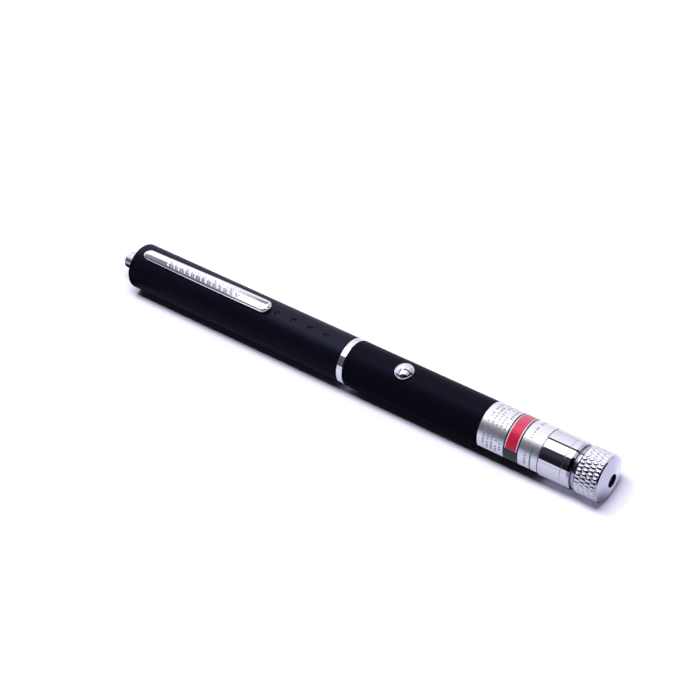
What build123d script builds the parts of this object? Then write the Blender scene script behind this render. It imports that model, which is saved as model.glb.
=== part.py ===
"""Pen laser pointer: black barrels, pocket clip, push button and a turning star cap, in millimetres.

The pen lies along X with its beam end at +X and its clip and button on top. Pieces are modelled about
the pen's axis, with x = 0 at the rear face of the centre ring, and are moved into the part's own frame
when they are written: origin at the bottom centre of the pen's box, +Z up.
"""

from build123d import *
from math import cos, radians, sin, sqrt
import os

# Barrels and centre ring
rear_barrel_wall = 1.6
front_barrel_wall = 1.3
centre_ring_length = 2.0
rear_wall = 1.2
rear_edge_round = 1.0
edge_bevel = 0.15
seam_gap = 0.05
seat_clearance = 0.02

# Grip dimples on the rear barrel
dimple_count = 4
dimple_diameter = 2.2
dimple_depth = 0.3
dimple_pitch = 5.95
dimple_setback = 7.2

# AAA cells
cell_count = 2
cell_length = 44.5
cell_radius = 5.25
cell_clearance = 0.15
cells_reach = 15.6
cell_nub_radius = 1.9
cell_nub_height = 1.1
cell_wrap_thickness = 0.12
cell_end_margin = 0.35
cell_insulator_thickness = 0.3
cell_insulator_radius = 3.6
cell_crimp = 0.4

# Threaded coupling between the two barrels
coupling_wall = 0.8
coupling_thread_length = 9.0
coupling_seat_length = 8.0
thread_pitch = 1.0
thread_depth = 0.2
thread_clearance = 0.06
thread_runout = 0.3

# Tail post, its flange and the battery spring
post_radius = 2.5
post_length = 5.0
post_root_radius = 2.75
post_bevel = 0.2
tail_flange_thickness = 1.0
tail_spring_length = 3.4
tail_spring_base_radius = 4.0
tail_spring_tip_radius = 2.4
tail_spring_wire = 0.5
tail_boss_radius = 1.6
tail_boss_height = 0.9

# Pocket clip
clip_length = 48.1
clip_tail_setback = 3.3
clip_width = 4.55
clip_sheet = 0.45
clip_rise = 0.7
clip_rear_gap = 0.12
clip_panel_margin = 0.3
clip_panel_rise = 0.3
clip_bump_length = 6.0
clip_bump_width = 3.7
clip_bump_rest_gap = 0.03
clip_bump_end_margin = 0.25
clip_tab_width = 2.4
clip_tab_setback = 1.1
clip_foot_length = 1.7
clip_foot_drop = 0.3
clip_slot_clearance = 0.15

# Push button
button_radius = 2.85
button_gap = 0.15
button_rim_rise = 0.3
button_dome_rise = 0.72
button_edge_round = 0.25
button_flange_radius = 3.5
button_flange_thickness = 0.6
button_stop_gap = 0.05
button_travel = 0.4

# Tact switch under the button
switch_setback = 0.1
switch_side = 6.0
switch_base_height = 3.0
switch_cover_thickness = 0.3
switch_wall = 0.6
switch_floor = 0.9
switch_corner = 0.5
plunger_radius = 1.7
plunger_clearance = 0.1
plunger_rise = 0.7
plunger_depth = 0.9
dome_radius = 2.2
dome_height = 0.6
dome_thickness = 0.12
switch_leg_width = 0.8
switch_leg_length = 0.9
switch_leg_thickness = 0.25
switch_leg_spacing = 4.5

# Battery contact and circuit board
contact_gap = 0.1
contact_head_radius = 2.5
contact_head_thickness = 0.5
contact_shank_radius = 0.8
contact_disc_thickness = 1.0
contact_disc_clearance = 0.1
board_edge_clearance = 0.8
board_thickness = 1.0
board_lead_margin = 4.7

# Parts on the board, each a gap in front of the one behind it
chip_gap = 0.1
chip_length = 5.0
chip_width = 4.0
chip_height = 1.5
chip_leg_count = 4
chip_leg_pitch = 1.27
chip_leg_width = 0.42
chip_leg_reach = 1.0
chip_leg_thickness = 0.2
trimmer_gap = 1.0
trimmer_side = 3.2
trimmer_height = 1.5
trimmer_rotor_radius = 1.2
trimmer_rotor_height = 0.35
trimmer_slot_width = 0.4
capacitor_gap = 0.6
capacitor_offset = 2.6
capacitor_radius = 1.1
capacitor_height = 2.4
resistor_count = 3
resistor_gap = 0.3
resistor_pitch = 1.5
resistor_length = 1.6
resistor_width = 0.8
resistor_height = 0.5

# Laser module
module_gap = 1.0
module_length = 30.0
module_clearance = 0.1
module_bore_radius = 3.3
module_rear_wall = 3.0
diode_flange_radius = 2.8
diode_flange_thickness = 1.0
diode_can_radius = 2.35
diode_can_length = 3.4
diode_window_radius = 0.8
diode_window_depth = 0.25
diode_lead_radius = 0.22
diode_lead_overlap = 1.5
diode_lead_spacing = 1.27
holder_clearance = 0.05
crystal_holder_distance = 5.6
crystal_holder_length = 4.0
crystal_side = 1.5
crystal_length = 3.0
expander_distance = 12.6
expander_holder_length = 2.5
expander_radius = 2.2
expander_thickness = 1.2
expander_hollow = 0.3
collimator_holder_length = 6.0
collimator_radius = 2.7
collimator_edge = 0.8
collimator_bulge = 0.5
lens_seat_width = 0.3
filter_thickness = 0.8

# Label foil round the front barrel
label_length = 19.5
label_setback = 0.1
label_thickness = 0.1

# Nose sleeve
nose_length = 7.1
nose_spigot_length = 8.0
nose_seat_depth = 0.5
nose_bore_clearance = 0.05
nose_aperture_radius = 2.6
nose_wall_gap = 0.2
nose_shoulder = 1.9
nose_neck_step = 2.0
nose_neck_length = 7.4

# Star cap base
base_length = 2.75
base_taper_length = 0.8
base_taper_drop = 0.3
neck_length = 1.5
neck_depth = 0.75
neck_ring_width = 0.5
neck_ring_rise = 0.35
neck_ring_setback = 0.2
hub_wall = 0.64
hub_wall_gap = 0.5
hub_end_wall = 0.6
grating_radius = 3.6
grating_thickness = 0.5
grating_aperture_radius = 2.5
snap_ring_width = 0.6
snap_ring_setback = 1.2
snap_ring_depth = 0.3
snap_ring_clearance = 0.05

# Star cap head
head_gap = 0.1
head_hub_gap = 0.9
head_cone_height = 1.1
head_rear_bevel = 0.25
head_front_bevel = 0.12
head_front_wall = 1.5
beam_hole_radius = 1.97
beam_hole_bevel = 0.12

# Helper sizes
overrun = 1.0

# Radii that follow from the cells and the pieces round them
cell_bore_radius = cell_radius + cell_clearance
barrel_radius = cell_bore_radius + rear_barrel_wall
front_bore_radius = barrel_radius - front_barrel_wall
coupling_radius = cell_bore_radius + coupling_wall
rear_thread_bore_radius = coupling_radius + thread_clearance
label_seat_radius = barrel_radius - label_thickness
module_radius = front_bore_radius - module_clearance
holder_radius = module_bore_radius - holder_clearance
nose_spigot_radius = front_bore_radius + nose_seat_depth
nose_bore_radius = module_radius + nose_bore_clearance
nose_neck_radius = barrel_radius - nose_neck_step
base_thread_radius = nose_neck_radius + thread_clearance
neck_radius = barrel_radius - neck_depth
neck_ring_radius = neck_radius + neck_ring_rise
hub_radius = base_thread_radius + hub_wall
head_bore_radius = hub_radius + thread_clearance
snap_groove_radius = hub_radius + snap_ring_depth + snap_ring_clearance

# Places along the axis from the rear face of the centre ring, back through the cells to the tail
cells_front = cells_reach
cells_rear = cells_front - cell_count * cell_length
tail_flange_front = cells_rear - tail_spring_length
tail_flange_rear = tail_flange_front - tail_flange_thickness
rear_end = tail_flange_rear - rear_wall
post_end = rear_end - post_length
clip_rear = rear_end + clip_tail_setback
clip_front = clip_rear + clip_length
clip_tab_x = clip_rear + clip_tab_setback

# Places from the cells forward through the board and the module to the nose
contact_rear = cells_front + contact_gap
contact_disc_rear = contact_rear + contact_head_thickness
board_rear = contact_disc_rear + contact_disc_thickness
button_x = board_rear + switch_setback + switch_side / 2
switch_front = button_x + switch_side / 2
capacitor_x = switch_front + capacitor_gap + capacitor_radius
chip_x = capacitor_x + capacitor_radius + chip_gap + chip_length / 2
trimmer_x = chip_x + chip_length / 2 + trimmer_gap + trimmer_side / 2
resistor_x = trimmer_x + trimmer_side / 2 + resistor_gap + resistor_length / 2
board_front = resistor_x + resistor_length / 2 + board_lead_margin
module_rear = board_front + module_gap
module_front = module_rear + module_length
nose_front = module_front + nose_wall_gap + nose_shoulder
front_barrel_rear = centre_ring_length
front_barrel_front = nose_front - nose_length
label_front = front_barrel_front - label_setback
label_rear = label_front - label_length

# Places along the star cap
neck_front_end = nose_front + nose_neck_length
base_rear = nose_front + seam_gap
base_front = base_rear + base_length
hub_rear = base_front + neck_length
hub_front = neck_front_end + hub_wall_gap + hub_end_wall + grating_thickness
head_rear = hub_rear + head_gap
head_corner = hub_front + head_hub_gap + head_front_wall
head_front = head_corner + head_cone_height
middle_x = (post_end + head_front) / 2

# Heights above the axis
button_flange_top = sqrt(front_bore_radius**2 - button_flange_radius**2) - button_stop_gap
button_flange_bottom = button_flange_top - button_flange_thickness
switch_cover_top = button_flange_bottom - plunger_rise
switch_base_top = switch_cover_top - switch_cover_thickness
board_top = switch_base_top - switch_base_height
board_bottom = board_top - board_thickness

pieces = {}


def turned(outline):
    """A solid turned about the pen's axis from (place along the axis, radius) points."""
    return revolve(make_face(Polyline(*outline, close=True)), Axis.X)


def tube(start, end, outer, inner=0.0, bevel=0.0):
    """A plain tube or rod on the pen's axis, with its outer edges bevelled."""
    outline = [(start, inner), (start, outer - bevel), (start + bevel, outer)]
    outline += [(end - bevel, outer), (end, outer - bevel), (end, inner)]
    if bevel == 0:
        outline = [(start, inner), (start, outer), (end, outer), (end, inner)]
    return turned(outline)


def lens(middle, radius, edge, bulge):
    """A round lens on the pen's axis whose faces swell out by the bulge, or sink in where it is negative."""
    ball_radius = (radius**2 + bulge**2) / (2 * abs(bulge))
    half_sag = ball_radius - sqrt(ball_radius**2 - (radius / 2) ** 2)
    depth = abs(bulge) - half_sag
    if bulge < 0:
        depth = -depth
    front = middle + edge / 2
    rear = middle - edge / 2
    front_face = ThreePointArc((front, radius), (front + depth, radius / 2), (front + bulge, 0))
    rear_face = ThreePointArc((rear - bulge, 0), (rear - depth, radius / 2), (rear, radius))
    rim = Line((rear, radius), (front, radius))
    spine = Line((front + bulge, 0), (rear - bulge, 0))
    return revolve(make_face(Curve() + [rim, front_face, spine, rear_face]), Axis.X)


def block(x, y, z, length, width, height):
    """A box centred on x and y that stands on height z."""
    centre = Location((x, y, z + height / 2))
    return centre * Box(length, width, height)


def standing_rod(x, y, z, radius, height):
    """A round rod along Z that stands on height z."""
    return Location((x, y, z + height / 2)) * Cylinder(radius, height)


def ridges(start, end, crest, depth, pitch):
    """Outline points of a thread's ridges from start to end, as rings one pitch apart."""
    count = max(1, int(abs(end - start) / pitch))
    step = (end - start) / count
    crest_share = 0.3
    flank_share = 0.2
    points = []
    for index in range(count):
        foot = start + index * step
        points.append((foot, crest - depth))
        points.append((foot + step * flank_share, crest))
        points.append((foot + step * (flank_share + crest_share), crest))
        points.append((foot + step * (2 * flank_share + crest_share), crest - depth))
    points.append((end, crest - depth))
    return points


def quarter_round(centre, radius, start_angle, count=6):
    """Outline points of a quarter circle that starts at an angle in degrees and turns anticlockwise."""
    points = []
    for index in range(count + 1):
        angle = radians(start_angle + 90 * index / count)
        points.append((centre[0] + radius * cos(angle), centre[1] + radius * sin(angle)))
    return points


# Centre ring and the threaded coupling that it sits on
ring_bore_radius = coupling_radius + seat_clearance
pieces["centre_ring"] = tube(0.0, centre_ring_length, barrel_radius, ring_bore_radius, edge_bevel)
coupling_rear = -coupling_thread_length
coupling_outline = [(coupling_rear, cell_bore_radius)]
coupling_outline += ridges(coupling_rear, -thread_pitch, coupling_radius, thread_depth, thread_pitch)
coupling_outline += [(0.0, coupling_radius - thread_depth), (0.0, coupling_radius)]
coupling_front = front_barrel_rear + coupling_seat_length
coupling_outline += [(coupling_front, coupling_radius), (coupling_front, cell_bore_radius)]
pieces["thread_coupling"] = turned(coupling_outline)


def front_barrel():
    """Front barrel: seats for the coupling and the nose, a rebate for the label and the button's hole."""
    coupling_end = coupling_front + seat_clearance
    nose_seat = front_barrel_front - nose_spigot_length - seat_clearance
    outline = [
        (front_barrel_rear, coupling_radius + seat_clearance),
        (front_barrel_rear, barrel_radius - edge_bevel),
        (front_barrel_rear + edge_bevel, barrel_radius),
        (label_rear, barrel_radius),
        (label_rear, label_seat_radius),
        (label_front, label_seat_radius),
        (label_front, barrel_radius),
        (front_barrel_front, barrel_radius),
        (front_barrel_front, nose_spigot_radius),
        (nose_seat, nose_spigot_radius),
        (nose_seat, front_bore_radius),
        (coupling_end, front_bore_radius),
        (coupling_end, coupling_radius + seat_clearance),
    ]
    hole_depth = barrel_radius + overrun
    hole = standing_rod(button_x, 0.0, 0.0, button_radius + button_gap, hole_depth)
    return turned(outline) - hole


pieces["front_barrel"] = front_barrel()
label_outline = [
    (label_rear + seat_clearance, label_seat_radius),
    (label_rear + seat_clearance, barrel_radius),
    (label_front - seat_clearance, barrel_radius),
    (label_front - seat_clearance, label_seat_radius),
]
pieces["label_foil"] = turned(label_outline)


def rear_barrel():
    """Rear barrel: closed rounded end with a hole for the tail post, cell bore, thread bore and clip slot."""
    thread_end = -coupling_thread_length - thread_runout
    round_centre = (rear_end + rear_edge_round, barrel_radius - rear_edge_round)
    rounded_edge = quarter_round(round_centre, rear_edge_round, 90)
    rounded_edge.reverse()
    outline = [(rear_end, post_root_radius + seat_clearance)]
    outline += rounded_edge
    outline += [
        (-seam_gap - edge_bevel, barrel_radius),
        (-seam_gap, barrel_radius - edge_bevel),
        (-seam_gap, rear_thread_bore_radius),
        (thread_end, rear_thread_bore_radius),
        (thread_end, cell_bore_radius),
        (tail_flange_rear, cell_bore_radius),
        (tail_flange_rear, post_root_radius + seat_clearance),
    ]
    barrel = turned(outline)
    ball_radius = ((dimple_diameter / 2) ** 2 + dimple_depth**2) / (2 * dimple_depth)
    for index in range(dimple_count):
        dimple_x = -dimple_setback - index * dimple_pitch
        barrel -= Location((dimple_x, 0, barrel_radius - dimple_depth + ball_radius)) * Sphere(ball_radius)
    slot_length = clip_sheet + 2 * clip_slot_clearance
    slot_width = clip_tab_width + 2 * clip_slot_clearance
    return barrel - block(clip_tab_x, 0.0, 0.0, slot_length, slot_width, barrel_radius + overrun)


pieces["rear_barrel"] = rear_barrel()

# Tail post with its flange, and the cone-shaped battery spring
flange_radius = cell_bore_radius - seat_clearance
post_outline = [
    (post_end, 0.0),
    (post_end, post_radius - post_bevel),
    (post_end + post_bevel, post_radius),
    (rear_end, post_radius),
    (rear_end, post_root_radius),
    (tail_flange_rear, post_root_radius),
    (tail_flange_rear, flange_radius),
    (tail_flange_front, flange_radius),
    (tail_flange_front, tail_boss_radius),
    (tail_flange_front + tail_boss_height, tail_boss_radius),
    (tail_flange_front + tail_boss_height, 0.0),
]
pieces["tail_post"] = turned(post_outline)
spring_outline = [
    (tail_flange_front, tail_spring_base_radius - tail_spring_wire),
    (tail_flange_front, tail_spring_base_radius),
    (cells_rear, tail_spring_tip_radius),
    (cells_rear, tail_spring_tip_radius - tail_spring_wire),
]
pieces["tail_spring"] = turned(spring_outline)


def cell(number, start):
    """One AAA cell as a steel can with its nub, a printed wrap and the insulator washer round the nub."""
    can_radius = cell_radius - cell_wrap_thickness
    shoulder = start + cell_length - cell_nub_height
    can_outline = [
        (start, 0.0),
        (start, can_radius - cell_crimp),
        (start + cell_crimp, can_radius),
        (shoulder - cell_crimp, can_radius),
        (shoulder, can_radius - cell_crimp),
        (shoulder, cell_nub_radius),
        (start + cell_length, cell_nub_radius),
        (start + cell_length, 0.0),
    ]
    pieces[f"cell_{number}_can"] = turned(can_outline)
    wrap_rear = start + cell_crimp + cell_end_margin
    wrap_front = shoulder - cell_crimp
    pieces[f"cell_{number}_wrap"] = tube(wrap_rear, wrap_front, cell_radius, can_radius)
    washer_end = shoulder + cell_insulator_thickness
    washer_hole = cell_nub_radius + seat_clearance
    pieces[f"cell_{number}_washer"] = tube(shoulder, washer_end, cell_insulator_radius, washer_hole)


for index in range(cell_count):
    cell(index + 1, cells_rear + index * cell_length)


def stadium(rear, front, width):
    """A flat outline with round ends, from rear to front along the pen."""
    return Location(((rear + front) / 2, 0)) * SlotOverall(front - rear, width)


def clip_strip(rear, front, width, low, high):
    """A round-ended strip between two heights above the clip's rising underside."""
    def underside(x):
        share = (x - clip_rear) / clip_length
        return barrel_radius + clip_rear_gap + clip_rise * share

    side = [(rear, underside(rear) + low), (front, underside(front) + low)]
    side += [(front, underside(front) + high), (rear, underside(rear) + high)]
    slab = extrude(Plane.XZ * make_face(Polyline(*side, close=True)), width, both=True)
    return slab & extrude(stadium(rear, front, width), 2 * barrel_radius)


def pocket_clip():
    """Stamped clip: rimmed strip with a raised panel, a contact bump in front and a hooked tab behind."""
    panel_rear = clip_rear + clip_panel_margin
    panel_front = clip_front - clip_panel_margin
    panel_width = clip_width - 2 * clip_panel_margin
    clip = clip_strip(clip_rear, clip_front, clip_width, 0.0, clip_sheet)
    clip += clip_strip(panel_rear, panel_front, panel_width, 0.0, clip_sheet + clip_panel_rise)
    hollow_rear = panel_rear + clip_tab_setback + clip_sheet
    hollow_front = clip_front - clip_bump_length
    hollow_width = panel_width - 2 * clip_sheet
    clip -= clip_strip(hollow_rear, hollow_front, hollow_width, -clip_sheet, clip_panel_rise)
    bump_front = clip_front - clip_bump_end_margin
    bump_rear = bump_front - clip_bump_length
    bump_low = barrel_radius + clip_bump_rest_gap
    bump_share = (bump_rear - clip_rear) / clip_length
    bump_high = barrel_radius + clip_rear_gap + clip_rise * bump_share + clip_sheet / 2
    lowest_share = 0.62
    bump_low_x = bump_rear + clip_bump_length * lowest_share
    curve = ThreePointArc((bump_rear, bump_high), (bump_low_x, bump_low), (bump_front, bump_high))
    bump_face = Plane.XZ * make_face([curve, Line((bump_front, bump_high), (bump_rear, bump_high))])
    bump = extrude(bump_face, clip_bump_width, both=True)
    clip += bump & extrude(stadium(bump_rear, bump_front, clip_bump_width), 2 * barrel_radius)
    foot_top = cell_bore_radius - clip_foot_drop
    foot_bottom = foot_top - clip_sheet
    tab_top = barrel_radius + clip_rear_gap + clip_sheet
    clip += block(clip_tab_x, 0.0, foot_bottom, clip_sheet, clip_tab_width, tab_top - foot_bottom)
    foot_x = clip_tab_x + clip_sheet / 2 - (clip_foot_length + clip_sheet) / 2
    clip += block(foot_x, 0.0, foot_bottom, clip_foot_length + clip_sheet, clip_tab_width, clip_sheet)
    return clip


pieces["pocket_clip"] = pocket_clip()


def button_cap():
    """Domed metal button with a rounded edge and a flange that stops under the barrel's wall."""
    rim = barrel_radius + button_rim_rise
    shoulder = rim + button_edge_round
    shoulder_radius = button_radius - button_edge_round
    ball_radius = (shoulder_radius**2 + button_dome_rise**2) / (2 * button_dome_rise)
    ball_z = shoulder + button_dome_rise - ball_radius
    edge_x, edge_z = quarter_round((shoulder_radius, rim), button_edge_round, 0, 2)[1]
    dome_x = shoulder_radius / 2
    dome_z = ball_z + sqrt(ball_radius**2 - dome_x**2)
    top = (0, shoulder + button_dome_rise)
    outline = Polyline(
        top,
        (0, button_flange_bottom),
        (button_flange_radius, button_flange_bottom),
        (button_flange_radius, button_flange_top),
        (button_radius, button_flange_top),
        (button_radius, rim),
    )
    edge = ThreePointArc((button_radius, rim), (edge_x, edge_z), (shoulder_radius, shoulder))
    dome = ThreePointArc((shoulder_radius, shoulder), (dome_x, dome_z), top)
    half = make_face(Curve() + [outline, edge, dome])
    return Location((button_x, 0, 0), (90, 0, 0)) * revolve(half, Axis.Y)


pieces["button_cap"] = button_cap()


def tact_switch():
    """Tact switch: base with a cavity, cover plate, snap dome, legs and the plunger under the button."""
    base = block(button_x, 0.0, board_top, switch_side, switch_side, switch_base_height)
    base = chamfer(base.edges().filter_by(Axis.Z), switch_corner)
    cavity_side = switch_side - 2 * switch_wall
    cavity_floor = board_top + switch_floor
    base -= block(button_x, 0.0, cavity_floor, cavity_side, cavity_side, switch_base_height)
    pieces["switch_base"] = base
    cover = block(button_x, 0.0, switch_base_top, switch_side, switch_side, switch_cover_thickness)
    cover = chamfer(cover.edges().filter_by(Axis.Z), switch_corner)
    hole_radius = plunger_radius + plunger_clearance
    cover -= standing_rod(button_x, 0.0, board_top, hole_radius, 2 * switch_base_height)
    pieces["switch_cover"] = cover
    plunger_bottom = switch_base_top - plunger_depth
    plunger_height = button_flange_bottom - plunger_bottom
    pieces["switch_plunger"] = standing_rod(button_x, 0.0, plunger_bottom, plunger_radius, plunger_height)
    ball_radius = (dome_radius**2 + dome_height**2) / (2 * dome_height)
    ball_centre = Location((button_x, 0, cavity_floor + dome_height - ball_radius))
    shell = ball_centre * Sphere(ball_radius) - ball_centre * Sphere(ball_radius - dome_thickness)
    pieces["switch_dome"] = shell & standing_rod(button_x, 0.0, cavity_floor, dome_radius, dome_height)
    legs = []
    for x_side in (-1, 1):
        for y_side in (-1, 1):
            leg_x = button_x + x_side * switch_leg_spacing / 2
            leg_y = y_side * (switch_side + switch_leg_length) / 2
            size = (switch_leg_width, switch_leg_length, switch_leg_thickness)
            legs.append(block(leg_x, leg_y, board_top, *size))
    pieces["switch_legs"] = Compound(legs)


tact_switch()

# Battery contact disc with its rivet, and the circuit board behind the laser module
disc_radius = front_bore_radius - contact_disc_clearance
shank_hole = contact_shank_radius + seat_clearance
disc = tube(contact_disc_rear, board_rear, disc_radius, shank_hole)
disc_middle = (contact_disc_rear + board_rear) / 2
notch_size = (2 * contact_disc_thickness, 2 * front_bore_radius, front_bore_radius)
notch_z = button_flange_bottom - button_travel - button_stop_gap
disc -= block(disc_middle, 0.0, notch_z, *notch_size)
pieces["contact_disc"] = disc
rivet_outline = [
    (contact_rear, 0.0),
    (contact_rear, contact_head_radius - edge_bevel),
    (contact_rear + edge_bevel, contact_head_radius),
    (contact_disc_rear, contact_head_radius),
    (contact_disc_rear, contact_shank_radius),
    (board_rear, contact_shank_radius),
    (board_rear, 0.0),
]
pieces["contact_rivet"] = turned(rivet_outline)
board_reach = max(abs(board_bottom), abs(board_top))
board_half_width = sqrt(front_bore_radius**2 - board_reach**2) - board_edge_clearance
board_middle = (board_rear + board_front) / 2
board_size = (board_front - board_rear, 2 * board_half_width, board_thickness)
pieces["circuit_board"] = block(board_middle, 0.0, board_bottom, *board_size)


def board_parts():
    """Driver chip with its legs, current trimmer, capacitor and resistors on the board's top face."""
    pieces["driver_chip"] = block(chip_x, 0.0, board_top, chip_length, chip_width, chip_height)
    legs = []
    for index in range(chip_leg_count):
        leg_x = chip_x + (index - (chip_leg_count - 1) / 2) * chip_leg_pitch
        for side in (-1, 1):
            leg_y = side * (chip_width + chip_leg_reach) / 2
            legs.append(block(leg_x, leg_y, board_top, chip_leg_width, chip_leg_reach, chip_leg_thickness))
    pieces["chip_legs"] = Compound(legs)
    pieces["trimmer_base"] = block(trimmer_x, 0.0, board_top, trimmer_side, trimmer_side, trimmer_height)
    rotor_z = board_top + trimmer_height
    rotor = standing_rod(trimmer_x, 0.0, rotor_z, trimmer_rotor_radius, trimmer_rotor_height)
    slot_length = 2 * trimmer_rotor_radius + overrun
    slot_z = rotor_z + trimmer_rotor_height / 2
    rotor -= block(trimmer_x, 0.0, slot_z, slot_length, trimmer_slot_width, trimmer_rotor_height)
    pieces["trimmer_rotor"] = rotor
    capacitors = []
    for side in (-1, 1):
        place = (capacitor_x, side * capacitor_offset, board_top)
        capacitors.append(standing_rod(*place, capacitor_radius, capacitor_height))
    pieces["capacitors"] = Compound(capacitors)
    resistors = []
    for index in range(resistor_count):
        resistor_y = (index - (resistor_count - 1) / 2) * resistor_pitch
        size = (resistor_length, resistor_width, resistor_height)
        resistors.append(block(resistor_x, resistor_y, board_top, *size))
    pieces["resistors"] = Compound(resistors)


board_parts()


def laser_module():
    """Brass module: diode can with leads, pumped crystal, expander lens, collimating lens and filter."""
    diode_seat = module_rear + diode_flange_thickness + seat_clearance
    housing_outline = [
        (module_rear, diode_flange_radius + seat_clearance),
        (module_rear, module_radius),
        (module_front, module_radius),
        (module_front, module_bore_radius),
        (module_rear + module_rear_wall, module_bore_radius),
        (module_rear + module_rear_wall, diode_can_radius + seat_clearance),
        (diode_seat, diode_can_radius + seat_clearance),
        (diode_seat, diode_flange_radius + seat_clearance),
    ]
    pieces["module_housing"] = turned(housing_outline)
    can_front = module_rear + diode_flange_thickness + diode_can_length
    diode_outline = [
        (module_rear, 0.0),
        (module_rear, diode_flange_radius),
        (module_rear + diode_flange_thickness, diode_flange_radius),
        (module_rear + diode_flange_thickness, diode_can_radius),
        (can_front, diode_can_radius),
        (can_front, diode_window_radius),
        (can_front - diode_window_depth, diode_window_radius),
        (can_front - diode_window_depth, 0.0),
    ]
    pieces["diode_can"] = turned(diode_outline)
    lead_length = module_gap + diode_lead_overlap
    leads = []
    for index in (-1, 0, 1):
        middle = (module_rear - lead_length / 2, index * diode_lead_spacing, board_top + diode_lead_radius)
        leads.append(Location(middle, (0, 90, 0)) * Cylinder(diode_lead_radius, lead_length))
    pieces["diode_leads"] = Compound(leads)
    holder_rear = module_rear + crystal_holder_distance
    holder = tube(holder_rear, holder_rear + crystal_holder_length, holder_radius)
    holder_middle = holder_rear + crystal_holder_length / 2
    window = crystal_side + 2 * seat_clearance
    holder -= Location((holder_middle, 0, 0)) * Box(2 * crystal_holder_length, window, window)
    pieces["crystal_holder"] = holder
    crystal = Box(crystal_length, crystal_side, crystal_side)
    pieces["crystal_block"] = Location((holder_middle, 0, 0)) * crystal
    expander_rear = module_rear + expander_distance
    expander_front = expander_rear + expander_holder_length
    hole_radius = expander_radius + seat_clearance
    pieces["expander_holder"] = tube(expander_rear, expander_front, holder_radius, hole_radius)
    expander_middle = (expander_rear + expander_front) / 2
    pieces["expander_lens"] = lens(expander_middle, expander_radius, expander_thickness, -expander_hollow)
    filter_front = module_front - lens_seat_width
    filter_rear = filter_front - filter_thickness
    pieces["infrared_filter"] = tube(filter_rear, filter_front, holder_radius)
    holder_front = filter_rear - seat_clearance
    holder_back = holder_front - collimator_holder_length
    seat = holder_front - lens_seat_width - collimator_edge - 2 * collimator_bulge
    holder_outline = [
        (holder_back, collimator_radius - lens_seat_width),
        (holder_back, holder_radius),
        (holder_front, holder_radius),
        (holder_front, collimator_radius + seat_clearance),
        (seat, collimator_radius + seat_clearance),
        (seat, collimator_radius - lens_seat_width),
    ]
    pieces["collimator_holder"] = turned(holder_outline)
    lens_middle = seat + collimator_bulge + collimator_edge / 2
    pieces["collimating_lens"] = lens(lens_middle, collimator_radius, collimator_edge, collimator_bulge)


laser_module()


def nose_sleeve():
    """Bright nose: spigot in the front barrel, bore over the module, beam aperture and threaded neck."""
    spigot_rear = front_barrel_front - nose_spigot_length
    wall_rear = module_front + nose_wall_gap
    spigot = nose_spigot_radius - seat_clearance
    outline = [
        (spigot_rear, nose_bore_radius),
        (spigot_rear, spigot),
        (front_barrel_front + seam_gap, spigot),
        (front_barrel_front + seam_gap, barrel_radius - edge_bevel),
        (front_barrel_front + seam_gap + edge_bevel, barrel_radius),
        (nose_front - edge_bevel, barrel_radius),
        (nose_front, barrel_radius - edge_bevel),
    ]
    outline += ridges(nose_front, neck_front_end, nose_neck_radius, thread_depth, thread_pitch)
    outline += [
        (neck_front_end, nose_aperture_radius),
        (wall_rear, nose_aperture_radius),
        (wall_rear, nose_bore_radius),
    ]
    return turned(outline)


pieces["nose_sleeve"] = nose_sleeve()


def star_base():
    """Smooth base of the star cap: bright ring, ringed neck and the hub that the head turns on."""
    thread_end = neck_front_end + hub_wall_gap
    seat_rear = hub_front - grating_thickness
    ring_front = hub_rear - neck_ring_setback
    ring_rear = ring_front - neck_ring_width
    snap_rear = hub_rear + snap_ring_setback - snap_ring_clearance
    snap_front = hub_rear + snap_ring_setback + snap_ring_width + snap_ring_clearance
    outline = [
        (base_rear, base_thread_radius),
        (base_rear, barrel_radius - edge_bevel),
        (base_rear + edge_bevel, barrel_radius),
        (base_front - base_taper_length, barrel_radius),
        (base_front, barrel_radius - base_taper_drop),
        (base_front, neck_radius),
        (ring_rear, neck_radius),
        (ring_rear, neck_ring_radius),
        (ring_front, neck_ring_radius),
        (ring_front, neck_radius),
        (hub_rear, neck_radius),
        (hub_rear, hub_radius),
        (snap_rear, hub_radius),
        (snap_rear, hub_radius - snap_ring_depth),
        (snap_front, hub_radius - snap_ring_depth),
        (snap_front, hub_radius),
        (hub_front, hub_radius),
        (hub_front, grating_radius + seat_clearance),
        (seat_rear, grating_radius + seat_clearance),
        (seat_rear, grating_aperture_radius),
        (thread_end, grating_aperture_radius),
        (thread_end, base_thread_radius),
    ]
    return turned(outline)


pieces["star_base"] = star_base()
pieces["fixed_grating"] = tube(hub_front - grating_thickness + seat_clearance, hub_front, grating_radius)
snap_inner = hub_radius - snap_ring_depth + seat_clearance
snap_outer = hub_radius + snap_ring_depth
snap_start = hub_rear + snap_ring_setback
pieces["snap_ring"] = tube(snap_start, snap_start + snap_ring_width, snap_outer, snap_inner)


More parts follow.
